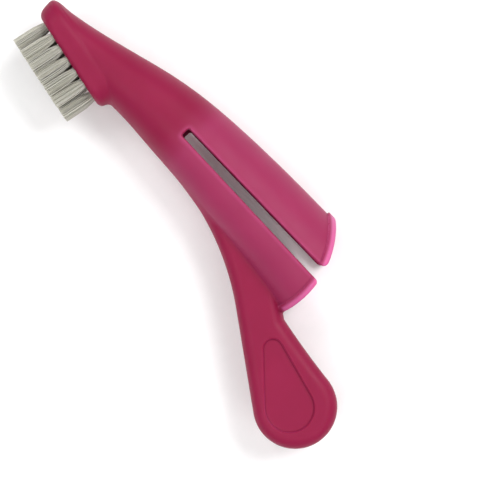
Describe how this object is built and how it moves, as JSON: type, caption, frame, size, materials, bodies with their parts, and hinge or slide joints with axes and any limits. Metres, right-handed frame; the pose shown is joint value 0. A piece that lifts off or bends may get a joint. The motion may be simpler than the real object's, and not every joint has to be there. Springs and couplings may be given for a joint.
{
  "type": "pet toothbrush",
  "caption": "Finger-worn pet toothbrush: a tapered split finger sleeve runs into a small bristled head, with a curved pinch handle underneath.",
  "frame": {"origin": "centre of the finger sleeve's mouth, on the line of the side slits", "axes": "+X along the finger towards the brush head, +Y to the palm side (bristles and handle), +Z to the side of the finger, so the brush lies on its side"},
  "size_m": [0.1172, 0.0466, 0.0242],
  "materials": {
    "moulding": "satin magenta, slightly translucent",
    "bristle": "natural white nylon filament",
    "anchor": "flat wire"
  },
  "bodies": {
    "brush": {"brush_body": "moulding", "tuft_row1_1": "bristle", "tuft_row1_2": "bristle", "tuft_row2_1": "bristle", "tuft_row2_2": "bristle", "tuft_row2_3": "bristle", "tuft_row2_4": "bristle", "tuft_row3_1": "bristle", "tuft_row3_2": "bristle", "tuft_row3_3": "bristle", "tuft_row3_4": "bristle", "tuft_row4_1": "bristle", "tuft_row4_2": "bristle", "tuft_row4_3": "bristle", "tuft_row4_4": "bristle", "tuft_row5_1": "bristle", "tuft_row5_2": "bristle", "tuft_row5_3": "bristle", "tuft_row5_4": "bristle", "tuft_row6_1": "bristle", "tuft_row6_2": "bristle", "tuft_row6_3": "bristle", "tuft_row6_4": "bristle", "tuft_row7_1": "bristle", "tuft_row7_2": "bristle", "tuft_anchors": "anchor"},
    "jaw": {"upper_jaw": "moulding"}
  },
  "joints": [
    {"name": "upper_jaw_flex", "type": "hinge", "parent": "brush", "child": "jaw", "pos_m": [0.0462, -0.006, 0], "axis": [0, 0, 1], "range_deg": [-2.5, 5], "stiffness_Nm_per_rad": 2}
  ]
}
